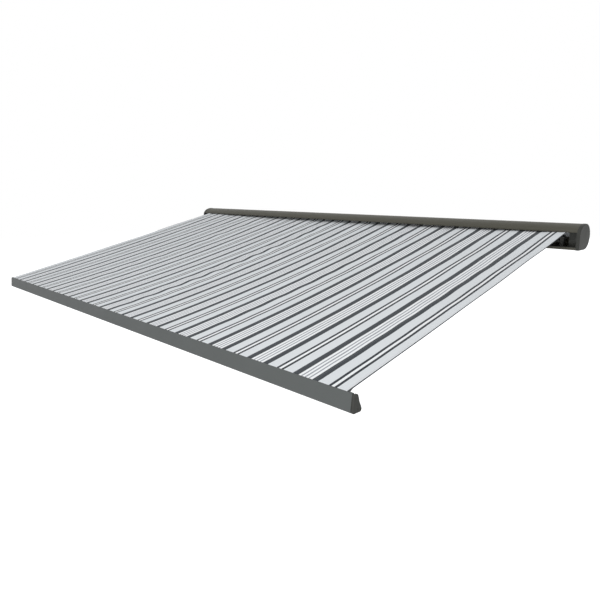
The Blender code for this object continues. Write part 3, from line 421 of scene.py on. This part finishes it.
def cloth_columns():
    """Places across the cloth: even steps, with extra ones at the hems' and seams' edges."""
    places = {round(-HALF_CLOTH + CLOTH_WIDTH * i / CLOTH_STEPS, 5)
              for i in range(CLOTH_STEPS + 1)}
    for border in (end for ends in BORDERS for end in ends):
        for offset in (-BORDER_STEP, 0.0, BORDER_STEP):
            if abs(border + offset) <= HALF_CLOTH:
                places.add(round(border + offset, 5))
    columns = []
    for x in sorted(places):
        if not columns or x - columns[-1] > LEAST_STEP:
            columns.append(x)
    return columns


def ripple(x, s, share):
    """Waves along the seams, where the cloth is doubled, and slanting ones that fade outwards."""
    calm = math.sqrt(max(0.0, math.sin(math.pi * share)))
    height = SLANT_RISE * math.exp(-max(0.0, s) / SLANT_FADE)
    height *= math.sin(2 * math.pi * (s / SLANT_DOWN + x / SLANT_ACROSS) + SLANT_PHASE)
    for seam, (rise, length, phase) in zip(SEAMS, SEAM_WAVES):
        near = math.exp(-((x - seam) / SEAM_REACH) ** 2)
        height += rise * near * math.sin(2 * math.pi * s / length + phase)
    return height * calm


def cloth_point(x, share):
    """A spot of the stretched part, from the roll at share 0 to the bar's edge at share 1."""
    s = START_S + (BAR_S - BAR_LANDING - START_S) * share
    loose = max(0.0, math.cos(math.pi * x / CLOTH_WIDTH)) ** LOOSE_POWER
    sag = EDGE_SAG + MIDDLE_SAG * loose
    drop = (EDGE_DROP + MIDDLE_DROP * loose) * (1 - math.exp(-((s - START_S) / DROP_EASE) ** 2))
    h = ROLL_H + (BAR_H - ROLL_H) * share - drop * (1 - share) ** 3 - 4 * sag * share * (1 - share)
    h += ripple(x, s, share)
    if any(low < x < high for low, high in BORDERS):
        h += SEAM_RAISE
    return on_slope(x, s, h)


def make_cloth():
    columns = cloth_columns()
    bar = on_slope(0, BAR_S, 0)
    slot_y = bar.y - BAR_SLOT
    mesh = bpy.data.meshes.new("awning_cloth")
    work = bmesh.new()
    uv = work.loops.layers.uv.new("metres")
    grid = []
    for x in columns:
        line = [cloth_point(x, i / CLOTH_ROWS) for i in range(CLOTH_ROWS + 1)]
        line.append(Vector((x, slot_y + SLOT_BEND, bar.z + BAR_H - SLOT_EASE)))
        line.append(Vector((x, slot_y, bar.z + BAR_H - SLOT_BEND)))
        line.append(Vector((x, slot_y, bar.z - HEM_DROP)))
        grid.append([work.verts.new(point) for point in line])
    downs = [0.0]
    for before, after in zip(grid[0], grid[0][1:]):
        downs.append(downs[-1] + (after.co - before.co).length)
    for i, (left, right) in enumerate(zip(grid, grid[1:])):
        for j in range(len(left) - 1):
            face = work.faces.new((left[j], left[j + 1], right[j + 1], right[j]))
            corners = ((i, j), (i, j + 1), (i + 1, j + 1), (i + 1, j))
            for loop, (column, row) in zip(face.loops, corners):
                loop[uv].uv = (columns[column], downs[row])
    work.to_mesh(mesh)
    work.free()
    mesh.shade_smooth()
    made = new_object("awning_cloth", mesh, "cassette", "striped_fabric", CLOTH)
    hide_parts("fabric")
    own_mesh(made)
    thick = made.modifiers.new("thickness", "SOLIDIFY")
    thick.thickness = CLOTH_THICK
    thick.offset = 0


make_cloth()


# Small trim, in meshes that ride on the parts that carry it

def finish_piece(name, work, body, slot, material=None):
    """Makes a piece from a bmesh, with smooth faces and sharp edges."""
    bmesh.ops.recalc_face_normals(work, faces=work.faces)
    mesh = bpy.data.meshes.new(name)
    work.to_mesh(mesh)
    work.free()
    mesh.shade_smooth()
    mesh.set_sharp_from_angle(angle=SHARP_ANGLE)
    new_object(name, mesh, body, slot, material)


def make_turned(name, places, profile, sides, body, slot):
    """A piece of equal solids, one at each (place, axis), turned from (radius, height) points.

    The first and the last point have radius 0 and close the solid on its axis.
    """
    work = bmesh.new()
    for place, axis in places:
        turn = Vector(axis).to_track_quat("Z", "Y").to_matrix().to_4x4()
        place = Matrix.Translation(place) @ turn
        rings = []
        for radius, height in profile:
            angles = [2 * math.pi * i / sides for i in range(sides if radius else 1)]
            rings.append([work.verts.new(place @ Vector((radius * math.cos(angle),
                                                         radius * math.sin(angle), height)))
                          for angle in angles])
        for first, second in zip(rings, rings[1:]):
            for i in range(sides):
                j = (i + 1) % sides
                corners = [first[i % len(first)], first[j % len(first)],
                           second[j % len(second)], second[i % len(second)]]
                work.faces.new(list(dict.fromkeys(corners)))
    finish_piece(name, work, body, slot)


def make_lofted(name, rings, body, slot, material=None):
    """A solid through rings of as many points each, closed at the first and the last."""
    work = bmesh.new()
    rings = [[work.verts.new(point) for point in ring] for ring in rings]
    work.faces.new(rings[0])
    work.faces.new(rings[-1])
    for first, second in zip(rings, rings[1:]):
        for i in range(len(first)):
            j = (i + 1) % len(first)
            work.faces.new((first[i], first[j], second[j], second[i]))
    finish_piece(name, work, body, slot, material)


def drawn_out(outline, x0, x1):
    """The two rings of an outline of (y, z) points that is drawn out from x0 to x1."""
    return [[(x, y, z) for y, z in outline] for x in (x0, x1)]


def screw_profile(radius, height):
    """A pan head with a recess for the driver, sunk a little into what it holds."""
    recess, rim, edge, sunk = 0.35 * height, 0.78 * radius, 0.55 * height, -0.0005
    return [(0, recess), (0.40 * radius, recess), (0.45 * radius, height), (rim, height),
            (radius, edge), (radius, sunk), (0, sunk)]


def make_screws(name, places, radius, height, body, slot):
    make_turned(name, places, screw_profile(radius, height), 12, body, slot)


# How far along each arm's tube the screws of its castings lie, and how far to either side
ARM_SCREWS = {"upper_arm": (0.074, 0.086, ARM_RUN - 0.099, ARM_RUN - 0.087),
              "forearm": (0.087, 0.099, ARM_RUN - 0.084, ARM_RUN - 0.072)}
ARM_STAGGER = 0.006
BELT_INNER = 0.0213
BELT_OUTER = 0.0227
BELT_HALF = 0.008
BELT_FROM = 125
BELT_TURN = 220
BELT_STEPS = 26
BELT_TAIL = 0.031


def arm_spot(side, part, along, offset, h):
    """A spot on an arm: along its tube from the inner joint and offset from its middle line."""
    down = Vector((-math.cos(ARM_OPEN), math.sin(ARM_OPEN)))
    across = Vector((math.sin(ARM_OPEN), math.cos(ARM_OPEN)))
    spot = Vector((ARM_X, ARM_S)) + down * along + across * offset
    if part == "forearm":
        elbow = Vector((ARM_X, ARM_S)) + down * ARM_RUN + across * ELBOW_OFFSET
        down = Vector((math.cos(ARM_OPEN), math.sin(ARM_OPEN)))
        across = Vector((-math.sin(ARM_OPEN), math.cos(ARM_OPEN)))
        spot = elbow + down * along + across * (ELBOW_OFFSET + offset)
    return on_slope(side * spot.x, spot.y, ARM_H + h)


def make_arm_screws(word, side):
    """Screws that hold the castings in the tubes, above and below."""
    for part, distances in ARM_SCREWS.items():
        places = []
        for number, along in enumerate(distances):
            offset = ARM_STAGGER if number % 2 else -ARM_STAGGER
            for face in (1, -1):
                spot = arm_spot(side, part, along, offset, face * ARM_HIGH / 2)
                places.append((spot, NORMAL * face))
        make_screws(f"{part}_screws_{word}", places, 0.0036, 0.0022, f"{part}_{word}",
                    "zinc_steel")


def make_elbow_belt(word, side):
    """The belt that pulls the arm open round its elbow, and its end along the upper arm."""
    elbow = arm_spot(side, "forearm", 0, -ELBOW_OFFSET, 0)
    corners = ((BELT_INNER, -BELT_HALF), (BELT_OUTER, -BELT_HALF),
               (BELT_OUTER, BELT_HALF), (BELT_INNER, BELT_HALF))
    rings = []
    for i in range(BELT_STEPS + 1):
        angle = math.radians(BELT_FROM + BELT_TURN * i / BELT_STEPS)
        aim = ALONG * (side * math.cos(angle)) + OUT * math.sin(angle)
        rings.append([elbow + aim * radius + NORMAL * h for radius, h in corners])
    make_lofted(f"elbow_belt_{word}", rings, f"forearm_{word}", "black_plastic", RUBBER)

    across = ALONG * (side * math.sin(ARM_OPEN)) + OUT * math.cos(ARM_OPEN)
    offset = ELBOW_OFFSET - (BELT_INNER + BELT_OUTER) / 2
    thick = (BELT_OUTER - BELT_INNER) / 2
    corners = ((-thick, -BELT_HALF), (thick, -BELT_HALF), (thick, BELT_HALF), (-thick, BELT_HALF))
    rings = []
    for along in (ARM_RUN - BELT_TAIL, ARM_RUN):
        middle = arm_spot(side, "upper_arm", along, offset, 0)
        rings.append([middle + across * a + NORMAL * h for a, h in corners])
    make_lofted(f"belt_end_{word}", rings, f"upper_arm_{word}", "black_plastic", RUBBER)


SHIELD_FROM_X = 2.381
SHIELD_TO_X = 2.4547
SHIELD_Y = -0.194
SHIELD_THICK = 0.0015
SWAGE = 0.002
# The shield's front, from below: how far it stands out of SHIELD_Y and its height
SHIELD_FRONT = ((0, -0.096), (0, -0.060), (SWAGE, -0.056), (SWAGE, -0.030), (0, -0.026),
                (0, 0.010), (SWAGE, 0.014), (SWAGE, 0.040), (0, 0.044), (0, 0.083))


def make_side_shield(word, side):
    """A thin plate with two pressed swages, in the mouth between the cloth and the end cap."""
    outline = [(SHIELD_Y - out, z) for out, z in SHIELD_FRONT]
    outline += [(SHIELD_Y - out + SHIELD_THICK, z) for out, z in reversed(SHIELD_FRONT)]
    rings = drawn_out(outline, side * SHIELD_FROM_X, side * SHIELD_TO_X)
    make_lofted(f"side_shield_{word}", rings, "cassette", "cap_coat")


# Screws beside the right wrist, counted in x from the arm's joint, on the bar's right cap and
# on the right end cap; the first two count y and z from the bar's place on the slope
PAD_SCREW = (0.0285, 0.0319, -0.069)
BAR_CAP_X = 2.4203
BAR_CAP_SCREWS = ((-0.002, -0.026), (0.014, -0.082))
END_CAP_X = 2.48
END_CAP_SCREWS = ((-0.070, 0.058), (-0.070, -0.058), (-0.222, -0.066))

WALL_BOLT_X = (-1.9, 0.0, 1.9)
WALL_BOLTS = ((-0.035, 0.074), (0.035, 0.074), (0.0, -0.074))
WASHER_Y = -0.0080
WASHER_PROFILE = ((0, 0.0002), (0.0105, 0.0002), (0.0112, 0.0008), (0.0108, 0.0016),
                  (0, 0.0016))

GASKET_Y = -0.2485
GASKET_Z = -0.0781
GASKET_RADIUS = 0.0022
GASKET_END_X = 2.452


def make_trim():
    bar = on_slope(0, BAR_S, 0)
    for word, side in (("right", 1), ("left", -1)):
        outwards = (side, 0, 0)
        make_arm_screws(word, side)
        make_elbow_belt(word, side)
        x, y, z = PAD_SCREW
        places = [((side * (ARM_X + x), bar.y + y, bar.z + z), (0, 1, 0))]
        make_screws(f"wrist_pad_screw_{word}", places, 0.0042, 0.0026, "front_bar", "zinc_steel")
        places = [((side * BAR_CAP_X, bar.y + y, bar.z + z), outwards) for y, z in BAR_CAP_SCREWS]
        make_screws(f"bar_cap_screws_{word}", places, 0.0040, 0.0010, "front_bar", "cap_coat")
        places = [((side * END_CAP_X, y, z), outwards) for y, z in END_CAP_SCREWS]
        make_screws(f"end_cap_screws_{word}", places, 0.0042, 0.0010, "cassette", "cap_coat")
        make_side_shield(word, side)

    places = [((x + across, WASHER_Y, z), (0, -1, 0))
              for x in WALL_BOLT_X for across, z in WALL_BOLTS]
    make_turned("wall_washers", places, WASHER_PROFILE, 24, "wall_brackets", "zinc_steel")

    angles = [math.radians(degrees) for degrees in range(0, 360, 30)]
    bulb = [(GASKET_Y + GASKET_RADIUS * math.cos(angle), GASKET_Z + GASKET_RADIUS * math.sin(angle))
            for angle in angles]
    rings = drawn_out(bulb, -GASKET_END_X, GASKET_END_X)
    make_lofted("rim_gasket", rings, "cassette", "black_plastic", RUBBER)


make_trim()


# Floor, light and background

FLOOR_Z = -2.45
FLOOR_REACH = 30
FLOOR_COLOUR = (0.90, 0.90, 0.90, 1)
FLOOR_GLOW = 0.75
SKY_COLOUR = (0.97, 0.98, 1.0, 1)
SKY_LIGHT = 0.60
SEEN_WHITE = (1, 1, 1, 1)
# Each lamp's name, place, target, size and power; the last one lights the cassette's mouth
LAMPS = (("key", (2.5, -5.5, 5.0), (0, -1.3, -0.3), 4.0, 165),
         ("fill", (-6.0, -4.0, 3.0), (0, -1.3, -0.3), 4.0, 40),
         ("front", (3.6, -6.5, -0.9), (2.2, -0.1, -0.05), 2.5, 60))


def seen_directly(tree):
    """1 for what the camera sees, straight or in a mirror or through glass."""
    path = add(tree, "LightPath")
    mirrored = math_node(tree, "MAXIMUM", path.outputs["Is Glossy Ray"],
                         path.outputs["Is Transmission Ray"])
    return math_node(tree, "MAXIMUM", path.outputs["Is Camera Ray"], mirrored)


def mixed_output(tree, kind, otherwise, seen):
    """Ends a tree with one shader for what is seen directly and another for the rest."""
    inputs = {0: seen_directly(tree), 1: otherwise.outputs[0], 2: seen.outputs[0]}
    either = add(tree, "MixShader", inputs=inputs)
    tree.links.new(either.outputs[0], add(tree, kind).inputs["Surface"])


def make_world():
    world = bpy.data.worlds.new("studio")
    world.use_nodes = True
    tree = world.node_tree
    tree.nodes.clear()
    seen = add(tree, "Background", inputs={"Color": SEEN_WHITE, "Strength": 1.0})
    lighting = add(tree, "Background", inputs={"Color": SKY_COLOUR, "Strength": SKY_LIGHT})
    mixed_output(tree, "OutputWorld", lighting, seen)
    bpy.context.scene.world = world


def make_floor():
    mesh = bpy.data.meshes.new("floor")
    work = bmesh.new()
    bmesh.ops.create_grid(work, x_segments=1, y_segments=1, size=FLOOR_REACH)
    work.to_mesh(mesh)
    work.free()
    floor = bpy.data.objects.new("floor", mesh)
    floor.location.z = FLOOR_Z
    bpy.context.scene.collection.objects.link(floor)
    made = bpy.data.materials.new("studio_floor")
    made.use_nodes = True
    tree = made.node_tree
    tree.nodes.clear()
    lit = add(tree, "BsdfDiffuse", inputs={"Color": FLOOR_COLOUR})
    bright = add(tree, "Emission", inputs={"Color": SEEN_WHITE, "Strength": FLOOR_GLOW})
    white = add(tree, "AddShader", inputs={0: lit.outputs[0], 1: bright.outputs[0]})
    mixed_output(tree, "OutputMaterial", lit, white)
    mesh.materials.append(made)


def area_light(name, place, target, size, power):
    data = bpy.data.lights.new(name, "AREA")
    data.shape = "SQUARE"
    data.size = size
    data.energy = power
    light = bpy.data.objects.new(name, data)
    light.location = place
    aim = Vector(target) - Vector(place)
    light.rotation_euler = aim.to_track_quat("-Z", "Y").to_euler()
    bpy.context.scene.collection.objects.link(light)


make_world()
make_floor()
for lamp in LAMPS:
    area_light(*lamp)
bpy.context.scene.view_settings.view_transform = "Standard"
